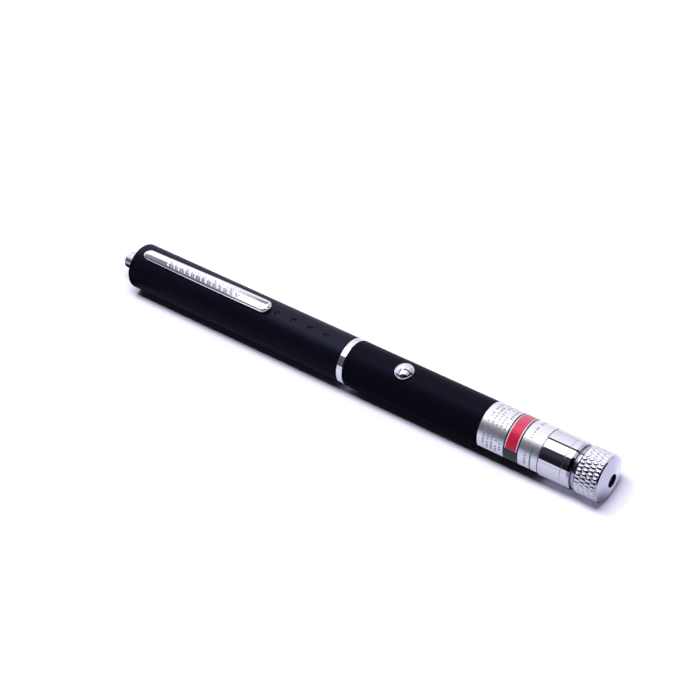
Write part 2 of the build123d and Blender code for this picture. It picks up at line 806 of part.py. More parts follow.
def star_head():
    """Turning head of the star cap: grip band, low cone in front, beam hole and the bore over the hub."""
    wall_rear = head_front - head_cone_height - head_front_wall
    groove_rear = snap_start - 2 * snap_ring_clearance
    groove_front = snap_start + snap_ring_width + 2 * snap_ring_clearance
    outline = [
        (head_rear, head_bore_radius),
        (head_rear, barrel_radius - head_rear_bevel),
        (head_rear + head_rear_bevel, barrel_radius),
        (head_corner - head_front_bevel, barrel_radius),
        (head_corner, barrel_radius - head_front_bevel),
        (head_front, beam_hole_radius + beam_hole_bevel),
        (head_front - beam_hole_bevel, beam_hole_radius),
        (wall_rear + grating_thickness, beam_hole_radius),
        (wall_rear + grating_thickness, grating_radius + seat_clearance),
        (wall_rear, grating_radius + seat_clearance),
        (wall_rear, head_bore_radius),
        (groove_front, head_bore_radius),
        (groove_front, snap_groove_radius),
        (groove_rear, snap_groove_radius),
        (groove_rear, head_bore_radius),
    ]
    return turned(outline)


pieces["star_head"] = star_head()
head_seat = head_front - head_cone_height - head_front_wall
pieces["turning_grating"] = tube(head_seat, head_seat + grating_thickness - seat_clearance, grating_radius)

os.makedirs("parts", exist_ok=True)
into_frame = Location((-middle_x, 0, barrel_radius))
for name, piece in pieces.items():
    export_step(into_frame * piece, f"parts/{name}.step")
print("pieces", len(pieces), "length", round(head_front - post_end, 3), "middle", round(middle_x, 3))
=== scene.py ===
"""Looks of the pen laser pointer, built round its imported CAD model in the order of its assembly."""

import bmesh
import bpy
import numpy as np
from mathutils import Matrix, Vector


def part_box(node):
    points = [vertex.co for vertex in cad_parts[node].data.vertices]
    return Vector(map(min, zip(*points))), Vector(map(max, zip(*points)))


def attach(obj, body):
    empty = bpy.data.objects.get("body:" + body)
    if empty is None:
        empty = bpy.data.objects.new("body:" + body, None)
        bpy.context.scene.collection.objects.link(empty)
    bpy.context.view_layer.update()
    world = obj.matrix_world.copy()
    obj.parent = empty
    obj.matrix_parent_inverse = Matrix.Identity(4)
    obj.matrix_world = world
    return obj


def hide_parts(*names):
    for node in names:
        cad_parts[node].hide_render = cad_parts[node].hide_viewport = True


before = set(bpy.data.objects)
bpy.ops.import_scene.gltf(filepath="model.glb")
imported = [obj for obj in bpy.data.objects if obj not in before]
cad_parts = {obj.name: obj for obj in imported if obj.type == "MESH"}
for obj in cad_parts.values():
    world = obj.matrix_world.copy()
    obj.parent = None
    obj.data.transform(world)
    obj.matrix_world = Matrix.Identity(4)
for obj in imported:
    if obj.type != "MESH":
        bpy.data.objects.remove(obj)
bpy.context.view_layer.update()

# Rear barrel: a drawn tube with a closed, rounded end that holds both cells. It is sprayed with black
# soft-touch lacquer. On top it has four round grip dimples, and behind them a slot for the clip's tab.

MILLIMETRE = 0.001
FULL_TURN = 2 * np.pi
ring_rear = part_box("centre_ring")[0].x
axis_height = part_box("front_barrel")[1].z / 2


def span(node):
    """Where a CAD node starts and ends along the pen, in millimetres in front of the centre ring's rear."""
    return [round((corner.x - ring_rear) / MILLIMETRE, 3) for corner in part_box(node)]


def placed(along, across, up):
    """Points in metres, from millimetres in front of the centre ring's rear, across and up from the axis."""
    along, across, up = np.broadcast_arrays(along, across, up)
    x = ring_rear + along * MILLIMETRE
    return np.stack([x, across * MILLIMETRE, axis_height + up * MILLIMETRE], axis=-1)


def round_the_axis(along, radius, angle):
    """Points at an angle from the top towards the near side: across = -radius sin, up = radius cos."""
    return placed(along, -radius * np.sin(angle), radius * np.cos(angle))


def swept(profile, angle):
    """A profile of (along, radius) points carried through the angles about the pen's axis."""
    profile = np.asarray(profile)
    return round_the_axis(profile[:, :1], profile[:, 1:], angle)


def linked(name, data):
    """A new object in the scene that carries the data."""
    carrier = bpy.data.objects.new(name, data)
    bpy.context.scene.collection.objects.link(carrier)
    return carrier


def shell(name, *grids, crease=35):
    """One mesh from grids of points. Each cell of a grid is a quad, borders that meet are merged, and the
    faces are turned to point outwards. Edges sharper than the crease angle stay sharp."""
    merge_distance = 2e-7
    points = np.concatenate([grid.reshape(-1, 3) for grid in grids])
    quads = []
    first = 0
    for grid in grids:
        rows, columns = grid.shape[:2]
        number = first + np.arange(rows * columns).reshape(rows, columns)
        corners = [number[:-1, :-1], number[1:, :-1], number[1:, 1:], number[:-1, 1:]]
        quads.append(np.stack(corners, axis=-1).reshape(-1, 4))
        first += rows * columns
    mesh = bpy.data.meshes.new(name)
    mesh.from_pydata(points.tolist(), [], np.concatenate(quads).tolist())
    work = bmesh.new()
    work.from_mesh(mesh)
    bmesh.ops.remove_doubles(work, verts=work.verts, dist=merge_distance)
    bmesh.ops.recalc_face_normals(work, faces=work.faces)
    if work.calc_volume(signed=True) < 0:
        bmesh.ops.reverse_faces(work, faces=work.faces)
    work.to_mesh(mesh)
    work.free()
    mesh.shade_smooth()
    mesh.set_sharp_from_angle(angle=np.radians(crease))
    return linked(name, mesh)


def outline(corners, steps=5):
    """A closed profile through (along, radius, rounding) corners. A rounded corner is an arc that touches
    both sides, in equal turns. One more point on each side of it keeps the long faces' shading flat."""
    guard_share = 0.2
    points = []
    for index, (along, radius, rounding) in enumerate(corners):
        here = np.array([along, radius], float)
        if rounding == 0:
            points.append(here)
            continue
        back = np.array(corners[index - 1][:2]) - here
        ahead = np.array(corners[(index + 1) % len(corners)][:2]) - here
        room = min(np.linalg.norm(back), np.linalg.norm(ahead))
        back /= np.linalg.norm(back)
        ahead /= np.linalg.norm(ahead)
        opening = np.arccos(np.clip(back @ ahead, -1, 1))
        reach = rounding / np.tan(opening / 2)
        guard = guard_share * min(room - reach, 2 * rounding)
        middle = here + (back + ahead) / np.linalg.norm(back + ahead) * rounding / np.sin(opening / 2)
        start = here + back * reach - middle
        end = here + ahead * reach - middle
        turn = np.pi - opening
        share = np.linspace(0, 1, steps + 1)[:, None]
        arc = (np.sin((1 - share) * turn) * start + np.sin(share * turn) * end) / np.sin(turn)
        points.append(here + back * (reach + guard))
        points.extend(middle + arc)
        points.append(here + ahead * (reach + guard))
    points.append(points[0])
    return np.array(points)


def turned(name, corners, around=160, **settings):
    """A piece turned on the lathe: its closed profile carried once round the pen's axis."""
    return shell(name, swept(outline(corners), np.linspace(0, FULL_TURN, around + 1)), **settings)


class Level:
    """A number, colour or place on its way through a recipe's nodes. Arithmetic on it adds Math nodes."""

    def __init__(self, recipe, socket):
        self.recipe = recipe
        self.socket = socket

    def worked(self, operation, *values, clamp=False):
        """A Math node on this level and then the values."""
        settings = {"operation": operation, "use_clamp": clamp}
        return self.recipe.add("ShaderNodeMath", 0, settings, dict(enumerate((self, *values))))

    def __add__(self, other):
        return self.worked("ADD", other)

    def __sub__(self, other):
        return self.worked("SUBTRACT", other)

    def __rsub__(self, other):
        return self * -1 + other

    def __mul__(self, other):
        return self.worked("MULTIPLY", other)

    def __truediv__(self, other):
        return self.worked("DIVIDE", other)

    def __rtruediv__(self, other):
        return self**-1 * other

    def __pow__(self, other):
        return self.worked("POWER", other)

    def __abs__(self):
        return self.worked("ABSOLUTE")

    def __floordiv__(self, other):
        return (self / other).worked("FLOOR")

    __radd__ = __add__
    __rmul__ = __mul__

    def or_more(self, other):
        """The larger of the two."""
        return self.worked("MAXIMUM", other)

    def or_less(self, other):
        """The smaller of the two."""
        return self.worked("MINIMUM", other)

    def over(self, start, end):
        """0 at start and 1 at end, in a straight line between them, and level outside them."""
        return self.worked("MULTIPLY_ADD", 1 / (end - start), -start / (end - start), clamp=True)

    def within(self, start, end, edge):
        """1 between start and end, falling to 0 over an edge's width outside them."""
        return self.over(start - edge, start).or_less(self.over(end + edge, end))


class Recipe:
    """The nodes of one finish, or of the sky."""

    def __init__(self, tree):
        self.tree = tree
        tree.nodes.clear()

    def add(self, kind, result, settings, sockets):
        """Adds a node of a kind, sets it up, feeds its sockets by name or number, and returns one result."""
        node = self.tree.nodes.new(kind)
        for name, value in settings.items():
            setattr(node, name, value)
        for name, value in sockets.items():
            self.feed(node.inputs[name], value)
        return None if result is None else Level(self, node.outputs[result])

    def feed(self, socket, value):
        """Links a level to a socket, or sets the socket to numbers. A colour's three are made opaque."""
        if isinstance(value, Level):
            self.tree.links.new(value.socket, socket)
        elif socket.type == "RGBA":
            socket.default_value = (*value, 1)
        else:
            socket.default_value = value

    def parts(self, place):
        """The three parts of a place or direction."""
        split = self.add("ShaderNodeSeparateXYZ", 0, {}, {0: place}).socket.node
        return [Level(self, part) for part in split.outputs]

    def mixed(self, share, first, second):
        """One colour fading into another as the share grows from 0 to 1."""
        return self.add("ShaderNodeMix", 2, {"data_type": "RGBA"}, {0: share, 6: first, 7: second})

    def light_path(self, result):
        """One result of the Light Path node."""
        return self.add("ShaderNodeLightPath", result, {}, {})

    def seen(self):
        """1 where the camera looks at a surface, straight or through glass."""
        return self.light_path("Is Camera Ray").or_more(self.light_path("Is Transmission Ray"))

    def mirrored(self):
        """1 where a glossy surface mirrors this one, but not by way of a matt surface."""
        straight = self.light_path("Diffuse Depth").worked("LESS_THAN", 0.5)
        return self.light_path("Is Glossy Ray") * straight


class Finish(Recipe):
    """A material round one Principled shader."""

    def __init__(self, name, colour, roughness, **plain):
        self.material = bpy.data.materials.new(name)
        self.material.use_nodes = True
        super().__init__(self.material.node_tree)
        sockets = {"Base Color": colour, "Roughness": roughness}
        for words, value in plain.items():
            sockets[words.replace("_", " ").title().replace("Ior", "IOR")] = value
        self.look = self.add("ShaderNodeBsdfPrincipled", 0, {}, sockets)
        self.shader = self.look.socket.node
        self.add("ShaderNodeOutputMaterial", None, {}, {"Surface": self.look})
        self.place = self.add("ShaderNodeTexCoord", "Object", {}, {})

    def set(self, name, value):
        self.feed(self.shader.inputs[name], value)

    def noise(self, scale, detail=2.0, place=None):
        """Noise from 0 to 1 with about as many bumps a metre as its scale."""
        sockets = {"Vector": place or self.place, "Scale": scale, "Detail": detail}
        return self.add("ShaderNodeTexNoise", "Fac", {}, sockets)

    def stretched(self, *scales):
        """The place on the piece, scaled along each axis."""
        return self.add("ShaderNodeMapping", 0, {}, {"Vector": self.place, "Scale": scales})

    def axes(self):
        """Three measures of the place: millimetres along the pen from the centre ring's rear, the angle about
        its axis from the top, and millimetres off the axis."""
        x, y, z = self.parts(self.place)
        up = z - axis_height
        angle = (y * -1).worked("ARCTAN2", up)
        return (x - ring_rear) / MILLIMETRE, angle, (y * y + up * up) ** 0.5 / MILLIMETRE

    def bump(self, height, distance):
        """Raises the surface by a height from 0 to 1 times a distance in metres."""
        grain = self.add("ShaderNodeBump", "Normal", {}, {"Height": height, "Distance": distance})
        self.set("Normal", grain)
        return grain

    def paint_sheen_over(self, share, under):
        """Shows the shader under this one where the share of this one falls from 1 to 0."""
        surface = self.look.socket.links[0].to_socket
        self.feed(surface, self.add("ShaderNodeMixShader", 0, {}, {0: share, 1: under, 2: self.look}))


def soft_touch(name, colour, sheen):
    """Soft-touch lacquer: quite matt, with a faint bluish sheen painted along the top and the far side by the
    angle about the axis, not by wear. The painted sheen draws back from the near side towards the tail. There
    are fine grain, uneven patches and dust."""
    patch_scale, dust_scale, grain_scale, grain_height = 180, 260.0, 9000, 0.000004
    dust_colour, draw_back, least_painted_sheen = (0.3, 0.3, 0.4), -0.0045, 0.14
    finish = Finish(name, colour, 0.38, specular_ior_level=sheen, specular_tint=(0.5, 0.5, 1.0))
    rubbed = finish.noise(patch_scale, 3.0).over(0.35, 0.7)
    finish.set("Roughness", rubbed * 0.06 + 0.35)
    cells = {"Vector": finish.place, "Scale": dust_scale}
    dust = finish.add("ShaderNodeTexVoronoi", "Distance", {}, cells).over(0.03, 0.015)
    lacquer = finish.mixed(rubbed * 0.5, colour, tuple(1.3 * part for part in colour))
    lacquer = finish.mixed(dust * 0.3, lacquer, dust_colour)
    finish.set("Base Color", lacquer)
    grain = finish.bump(finish.noise(grain_scale, 2.0), grain_height)
    matt = {"Base Color": lacquer, "Roughness": 0.7, "Specular IOR Level": 0.0, "Normal": grain}
    matt = finish.add("ShaderNodeBsdfPrincipled", 0, {}, matt)
    along, angle, _ = finish.axes()
    # Painted sheen: strongest on the top and the far side, where the light falls, and drawn back on the near
    # side towards the tail.
    sheen_side_share = (angle + along.or_less(0.0) * draw_back).over(0.7, 0.2)
    painted_sheen = (angle.over(-0.35, 0.1) * 0.36 + 0.5) * sheen_side_share * angle.over(-1.3, -1.05)
    finish.paint_sheen_over(painted_sheen.or_more(least_painted_sheen), matt)
    return finish.material


def dressed(piece, material, body, *nodes, slot=None):
    """Gives a piece its material and body, and hides the CAD nodes that it stands for. The slot is not used.
    """
    piece.data.materials.append(material)
    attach(piece, body)
    if nodes:
        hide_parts(*nodes)
    return piece


BARREL_RADIUS = round(axis_height / MILLIMETRE, 3)
CELL_BORE = 5.4
THREAD_BORE = 6.26
rear_end, rear_mouth = span("rear_barrel")
end_round, mouth_bevel, post_hole, tail_wall_front, thread_bore_rear = 1.0, 0.15, 2.72, -77.8, -9.3
first_dimple, dimple_pitch, dimple_count = -7.2, 5.95, 4
dimple_places = first_dimple - dimple_pitch * np.arange(dimple_count)
dimple_radius, dimple_floor, dimple_depth = 1.1, 0.76, 0.3
slot_place, slot_length, slot_width, slot_floor = -74.6, 0.75, 2.7, 5.5


def rear_barrel_skin():
    """The outer wall as rows along the pen and columns round it, closer together at the dimples and the slot.
    A dimple sinks it by its depth over a flat floor, whose edge rises as half a cosine wave. The slot sinks
    to its own floor."""
    wide_step, fine_step, wall_step = 1.0, 0.08, 0.004
    fine_angle, coarse_angle, wall_turn = 0.17, 0.24, 0.001
    last_row = rear_mouth - 0.19
    slot_edges = slot_place + np.array([-1, 1]) * slot_length / 2
    rows = [np.repeat(slot_edges, 2) + np.tile([-wall_step, wall_step], 2), np.linspace(*slot_edges, 5)[1:-1]]
    rows += [np.arange(rear_end + 1.05, -27, wide_step), np.arange(-26.4, -5.8, fine_step)]
    rows += [np.arange(-5, last_row, wide_step), [last_row]]
    rows = np.unique(np.concatenate(rows))
    slot_angle = np.arcsin(slot_width / 2 / BARREL_RADIUS)
    slot_walls = np.repeat([-slot_angle, slot_angle], 2) + np.tile([-wall_turn, wall_turn], 2)
    fine = np.linspace(-fine_angle, fine_angle, 39)
    coarse = np.linspace(coarse_angle, FULL_TURN - coarse_angle, 130)
    angle = np.unique(np.concatenate([fine, slot_walls, coarse]))
    angle = np.concatenate([angle, [angle[0] + FULL_TURN]])
    radius = np.full((len(rows), len(angle)), BARREL_RADIUS)
    across = BARREL_RADIUS * np.sin(angle)
    top = np.cos(angle) > 0
    for place in dimple_places:
        reach = np.hypot(rows[:, None] - place, across)
        rise = np.clip((reach - dimple_floor) / (dimple_radius - dimple_floor), 0, 1)
        radius -= np.where(top, dimple_depth * (0.5 + 0.5 * np.cos(np.pi * rise)), 0)
    in_slot = (abs(rows[:, None] - slot_place) < slot_length / 2) & (abs(across) < slot_width / 2) & top
    return rows, angle, np.where(in_slot, slot_floor, radius)


rows, angle, radius = rear_barrel_skin()
wall = round_the_axis(rows[:, None], radius, angle)
rear_cap = [(rear_end, post_hole, 0), (rear_end, BARREL_RADIUS, end_round), (rows[0], BARREL_RADIUS, 0)]
mouth = [(rows[-1], BARREL_RADIUS), (rear_mouth - mouth_bevel, BARREL_RADIUS)]
mouth += [(rear_mouth, BARREL_RADIUS - mouth_bevel), (rear_mouth, THREAD_BORE)]
mouth += [(thread_bore_rear, THREAD_BORE), (thread_bore_rear, CELL_BORE), (tail_wall_front, CELL_BORE)]
mouth += [(tail_wall_front, post_hole), (rear_end, post_hole)]
ends = [swept(line, angle) for line in (outline(rear_cap)[:-1], mouth)]
rear_barrel = shell("rear_barrel_skin", wall, *ends, crease=40)
# Painted light: this rear copy of the lacquer has a stronger sheen than the front copy, for the brighter
# light along the rear barrel.
rear_lacquer = soft_touch("rear_soft_touch_lacquer", (0.0042, 0.0042, 0.0085), 0.44)
dressed(rear_barrel, rear_lacquer, "rear_section", "rear_barrel", slot="soft_touch_black")

# Tail post: a short nickel-plated brass stud, riveted into the rear barrel's end from inside. Its flange lies
# on the end wall and carries the battery spring.


def plated(name, colour, roughness, smudge=0.04, grain=0.0):
    """Plated metal with faint finger smudges and, for satin, a fine blasted grain."""
    finish = Finish(name, colour, roughness, metallic=1.0)
    smudges = finish.noise(140, 3.0).over(0.45, 0.75)
    finish.set("Roughness", smudges * smudge + roughness)
    if grain:
        finish.bump(finish.noise(14000, 1.0), grain)
    return finish.material


mirror_chrome = plated("mirror_chrome", (0.86, 0.86, 0.88), 0.035)
satin_nickel = plated("satin_nickel", (0.82, 0.82, 0.86), 0.3, 0.05, 0.000001)
post_end, post_front = span("tail_post")
post_radius, post_round, post_root, flange_radius, flange_front, boss_radius = 2.5, 0.2, 2.7, 5.38, -76.8, 1.6
post = [(post_end, 0.0, 0), (post_end, post_radius, post_round), (rear_end, post_radius, 0)]
post += [(rear_end, post_root, 0), (tail_wall_front, post_root, 0), (tail_wall_front, flange_radius, 0)]
post += [(flange_front, flange_radius, 0), (flange_front, boss_radius, 0), (post_front, boss_radius, 0)]
post.append((post_front, 0.0, 0))
tail_post = turned("tail_post_stud", post, 96)
dressed(tail_post, satin_nickel, "rear_section", "tail_post", slot="chrome")

# Pocket clip: pressed from spring sheet and chromed, with a flat rim round a raised, softly arched panel.
# Slanted ribs are pressed into the panel, and a rounded bump under the front end grips the pocket. A tab at
# the rear goes through the barrel's slot.

clip_front = span("pocket_clip")[1]
clip_length, clip_half_width, clip_sheet, clip_rear_height, clip_rise = 48.1, 2.275, 0.45, 7.12, 0.7
clip_rear = clip_front - clip_length
taper_share, taper_start, taper_length = 0.2, -42, 31


def clip_underside(along):
    """The underside's height above the pen's axis, which rises evenly from the rear to the front."""
    return clip_rear_height + clip_rise * (along - clip_rear) / clip_length


def clip_line(inset, height, count=520, end_count=40):
    """A round-ended line at a given inset inside the clip's edge: straight sides and two half circles, drawn
    closer together towards the rear. It lies above the underside by a height, or by what a function gives."""
    radius = clip_half_width - inset
    rear, front = clip_rear + clip_half_width, clip_front - clip_half_width
    turn = np.linspace(0, np.pi, end_count, endpoint=False)
    side = np.linspace(rear, front, count, endpoint=False)
    along = [side, front + radius * np.sin(turn), side[::-1] + (front - rear) / count]
    along = np.concatenate(along + [rear - radius * np.sin(turn), side[:1]])
    across = [np.full(count, -radius), -radius * np.cos(turn), np.full(count, radius)]
    across = np.concatenate(across + [radius * np.cos(turn), np.full(1, -radius)])
    if callable(height):
        height = height(inset, along, across)
    narrowed = 1 - taper_share * np.clip((taper_start - along) / taper_length, 0, 1)
    return placed(along, across * narrowed, clip_underside(along) + height)


rim_sink, panel_edge, panel_start, panel_rise, arch_rise = 0.05, 0.165, 0.58, 0.26, 0.04
rib_pitch, rib_slant, second_pitch, rib_height = 2.1, 0.7, 3.37, 0.05
rib_rear, rib_front, rib_fade, rib_inset, rib_inset_fade = -66.1, -38.4, 0.3, 0.9, 0.2


def panel_top(inset, along, across):
    """The rim, a steep step, then an arch that rises with 1 - the square of the share of the way that is left
    to the middle. Slanted ribs with soft edges stand on it where the sum of two sines is high."""
    step = np.clip((inset - panel_edge) / (panel_start - panel_edge), 0, 1)
    arch = np.clip((inset - panel_start) / (clip_half_width - panel_start), 0, 1)
    wave = np.sin(FULL_TURN * (along + rib_slant * across) / rib_pitch)
    wave += 0.5 * np.sin(FULL_TURN * along / second_pitch)
    rib = np.clip(0.5 + 1.2 * (wave - 0.2), 0, 1)
    rib = rib * rib * (3 - 2 * rib)
    zone = np.clip((along - rib_rear) / rib_fade, 0, 1) * np.clip((rib_front - along) / rib_fade, 0, 1)
    zone *= np.clip((inset - rib_inset) / rib_inset_fade, 0, 1)
    arched = arch_rise * (1 - (1 - arch) ** 2)
    return clip_sheet - rim_sink + panel_rise * step + arched + rib_height * rib * zone


hollow_depth, hollow_inset, hollow_fade, hollow_front = 0.25, 0.5, 0.5, -34.5
bump_rear, bump_length, lowest_share, front_share = -34.0, 6.2, 0.62, 0.42
bump_floor, bump_inset, bump_side = 7.045, 0.06, 0.16


def panel_under(inset, along, across):
    """The hollow under the panel, and the contact bump near the front end. The bump sinks along two quarter
    ellipses, the front one steeper, to a floor that follows the barrel, and its sides are rounded."""
    hollow = hollow_depth * np.clip((inset - hollow_inset) / hollow_fade, 0, 1)
    hollow = hollow * np.clip(hollow_front - along, 0, 1)
    share = (along - bump_rear) / bump_length
    behind, ahead = (lowest_share - share) / lowest_share, (share - lowest_share) / front_share
    place = np.where(share < lowest_share, behind, ahead)
    sink = np.sqrt(np.clip(1 - place**2, 0, 1)) * np.sqrt(np.clip((inset - bump_inset) / bump_side, 0, 1))
    return hollow - sink * (clip_underside(along) - np.sqrt(bump_floor**2 - across**2))


insets = [0.15, *np.linspace(panel_edge, panel_start, 9), *np.linspace(0.62, clip_half_width, 26)]
top = np.stack([clip_line(inset, panel_top) for inset in insets])
insets = [*np.linspace(bump_inset, 0.24, 12), *np.linspace(0.3, clip_half_width, 14)]
under = np.stack([clip_line(inset, panel_under) for inset in insets])
# Insets and heights up the clip's edge
chamfer = [(0.0, 0.06), (0.0, 0.1), (0.008, 0.13), (0.105, 0.355), (0.12, 0.376), (0.135, 0.392)]
edge = np.stack([under[0], *(clip_line(*place) for place in chamfer), top[0]])
clip_strip = shell("pocket_clip_strip", top, edge, under, crease=50)


tab_bottom, tab_top, tab_half_width, tab_round, tab_end_cut, tab_squareness = 4.7, 7.5, 1.2, 0.06, 0.22, 0.22


def tab_ring(up, cut):
    """A flat oblong with rounded corners: the sine and the cosine of a turn are drawn towards their ends."""
    turn = np.linspace(0, FULL_TURN, 65)
    along, across = (np.sign(wave) * abs(wave) ** tab_squareness for wave in (np.cos(turn), np.sin(turn)))
    return placed(slot_place + (clip_sheet / 2 - cut) * along, (tab_half_width - cut) * across, up)


tab_rings = [(tab_bottom, tab_end_cut), (tab_bottom, tab_round), (tab_bottom + tab_round, 0.0)]
tab_rings += [(tab_top - tab_round, 0.0), (tab_top, tab_round), (tab_top, tab_end_cut)]
clip_tab = shell("pocket_clip_tab", np.stack([tab_ring(*ring) for ring in tab_rings]))
clip_chrome = plated("clip_chrome", (0.88, 0.88, 0.9), 0.06, 0.05)
dressed(clip_strip, clip_chrome, "pocket_clip", "pocket_clip", slot="chrome")
dressed(clip_tab, clip_chrome, "pocket_clip", slot="chrome")

# AAA cells: a tinned steel can with a nub, in a printed plastic wrap, and a paper washer round the nub. They
# push against a steel spring that stands on the tail post's flange.


def finished(nodes, material):
    """Puts a material on CAD nodes that are shown as they are."""
    for node in nodes:
        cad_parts[node].data.materials.clear()
        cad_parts[node].data.materials.append(material)


def cell_wrap_print():
    """Blue gloss film, with a silver band at the nub's end of the front cell."""
    blue, silver, band_rear, band_front = (0.02, 0.07, 0.25), (0.62, 0.62, 0.64), 8.5, 15.5
    finish = Finish("cell_wrap_film", blue, 0.22, coat_weight=0.4)
    along, _, _ = finish.axes()
    band = along.within(band_rear, band_front, 0.05)
    finish.set("Base Color", finish.mixed(band, blue, silver))
    finish.set("Metallic", band * 0.9)
    finish.bump(finish.noise(900, 2.0), 0.000008)
    return finish.material


tinned_steel = plated("tinned_steel", (0.7, 0.69, 0.67), 0.28, 0.1, 0.000003)
finished(["cell_1_can", "cell_2_can", "tail_spring", "chip_legs", "switch_legs"], tinned_steel)
finished(["cell_1_wrap", "cell_2_wrap"], cell_wrap_print())


def moulded(name, colour, roughness, grain=0.00001):
    """Moulded plastic or paper: an even colour, slightly mottled, with a fine grain."""
    finish = Finish(name, colour, roughness)
    mottle = finish.noise(600, 3.0)
    finish.set("Base Color", finish.mixed(mottle, colour, tuple(0.8 * part for part in colour)))
    finish.set("Roughness", mottle * 0.15 + roughness)
    finish.bump(finish.noise(5000, 2.0), grain)
    return finish.material


finished(["cell_1_washer", "cell_2_washer"], moulded("washer_paper", (0.75, 0.74, 0.7), 0.7))

# Threaded coupling and centre ring: a brass tube pressed into the front barrel, with a thread for the rear
# barrel, and the chromed ring that hides the joint between the two barrels.


def screw_ridge(along, angle, start, end, pitch):
    """A thread's height from 0 at the root to 1 at the crest. It is a trapezium over the place along the
    pitch plus the share of a turn, and it fades to the root over one pitch at both ends."""
    phase = (along[:, None] / pitch + angle / FULL_TURN) % 1
    ridge = np.clip(1.6 - 3.2 * abs(phase - 0.5), 0, 1)
    return ridge * np.clip(np.minimum(along - start, end - along) / pitch, 0, 1)[:, None]


coupling_rear, coupling_front = span("thread_coupling")
ring_front = span("centre_ring")[1]
coupling_radius, coupling_bore, coupling_seat, ring_round = 6.2, 5.4, 6.22, 0.12
thread_front, thread_depth, thread_pitch = -0.6, 0.25, 1.0


def coupling_tube():
    """The thread's rows, and the rest of the tube's outline: its collar, its front end and its bore."""
    along = np.arange(coupling_rear, thread_front + thread_pitch / 16, thread_pitch / 8)
    angle = np.linspace(0, FULL_TURN, 97)
    root = coupling_radius - thread_depth
    ridge = screw_ridge(along, angle, coupling_rear, thread_front, thread_pitch)
    thread = round_the_axis(along[:, None], root + thread_depth * ridge, angle)
    rest = [(along[-1], root), (0.0, root), (0.0, coupling_radius), (coupling_front, coupling_radius)]
    rest += [(coupling_front, coupling_bore), (coupling_rear, coupling_bore), (coupling_rear, root)]
    return thread, swept(rest, angle)


machined_brass = plated("machined_brass", (0.78, 0.6, 0.29), 0.2, 0.12, 0.000003)
coupling = shell("threaded_coupling_tube", *coupling_tube(), crease=50)
dressed(coupling, machined_brass, "front_section", "thread_coupling", slot="brass")
ring_corners = [(0.0, coupling_seat, 0), (0.0, BARREL_RADIUS, ring_round)]
ring_corners += [(ring_front, BARREL_RADIUS, ring_round), (ring_front, coupling_seat, 0)]
ring = turned("centre_ring_band", ring_corners)
dressed(ring, mirror_chrome, "front_section", "centre_ring", slot="chrome")

# Front barrel: the same soft-touch tube as the rear one, drilled through for the button and turned down a
# little where the foil is wrapped round it.

front_end = span("front_barrel")[1]
button_place, hole_radius, hole_bevel, front_bore = 20.3, 3.0, 0.12, 5.7
window_rear, window_front, window_angle, window_steps = 15.8, 24.8, 0.66, 24
seat_rear, seat_front, seat_radius, nose_seat, coupling_stop, nose_stop = 48.4, 67.9, 6.9, 6.2, 10.02, 59.98


def window_border(radius):
    """The edge of a window in the wall round the button, as points along the pen and across it."""
    along = np.linspace(window_rear, window_front, window_steps + 1)
    angle = np.linspace(-window_angle, window_angle, window_steps + 1)
    near, far = np.full(window_steps, -window_angle), np.full(window_steps, window_angle)
    front, rear = np.full(window_steps, window_front), np.full(window_steps + 1, window_rear)
    places = np.concatenate([along[:-1], front, along[:0:-1], rear])
    angles = np.concatenate([near, angle[:-1], far, angle[:0:-1], angle[:1]])
    return places, -radius * np.sin(angles)


def round_hole(radius, rings, edge):
    """The wall between that window and the hole: each ring is a share of the way from the window's edge to a
    circle, and lies on the cylinder, up = the square root of radius squared - across squared."""
    along, across = window_border(radius)
    bearing = np.arctan2(across, along - button_place)
    share = np.linspace(0, 1, rings)[:, None]
    x = along + (button_place + edge * np.cos(bearing) - along) * share
    y = across + (edge * np.sin(bearing) - across) * share
    return placed(x, y, np.sqrt(radius**2 - y**2)), bearing


def windowed(radius, places):
    """The rest of the wall at a radius: rings at the given places, left open at the window."""
    before, after = places[places <= window_rear], places[places >= window_front]
    beside = np.linspace(window_rear, window_front, window_steps + 1)
    pairs = ((before, full_turn), (after, full_turn), (beside, round_window))
    return [round_the_axis(along[:, None], radius, turn) for along, turn in pairs]


skin, bearing = round_hole(BARREL_RADIUS, 9, hole_radius + hole_bevel)
bore, _ = round_hole(front_bore, 5, hole_radius)
lip_height = np.sqrt(BARREL_RADIUS**2 - (hole_radius * np.sin(bearing)) ** 2) - hole_bevel
lip = placed(button_place + hole_radius * np.cos(bearing), hole_radius * np.sin(bearing), lip_height)
hole_wall = np.stack([skin[-1], lip, bore[-1]])
over_window = np.linspace(-window_angle, window_angle, window_steps + 1)
round_window = np.linspace(window_angle, FULL_TURN - window_angle, 121)
full_turn = np.concatenate([over_window, round_window[1:]])
bevel_end = ring_front + mouth_bevel
behind_window = [bevel_end, bevel_end + 0.1, *np.linspace(4, window_rear, 5)]
outer_places = np.array([*behind_window, *np.linspace(window_front, 48.2, 8), seat_rear])
behind_window = [coupling_stop, *np.linspace(12, window_rear, 3)]
inner_places = np.array([*behind_window, *np.linspace(window_front, nose_stop, 8)])
front_line = [(seat_rear, BARREL_RADIUS), (seat_rear, seat_radius), (seat_front, seat_radius)]
front_line += [(seat_front, BARREL_RADIUS), (front_end, BARREL_RADIUS), (front_end, nose_seat)]
front_line += [(nose_stop, nose_seat), (nose_stop, front_bore)]
rear_line = [(coupling_stop, front_bore), (coupling_stop, coupling_seat), (ring_front, coupling_seat)]
rear_line += [(ring_front, BARREL_RADIUS - mouth_bevel), (bevel_end, BARREL_RADIUS)]
ends = [swept(line, full_turn) for line in (front_line, rear_line)]
parts = windowed(BARREL_RADIUS, outer_places) + windowed(front_bore, inner_places) + ends
front_barrel = shell("front_barrel_skin", skin, bore, hole_wall, *parts, crease=40)
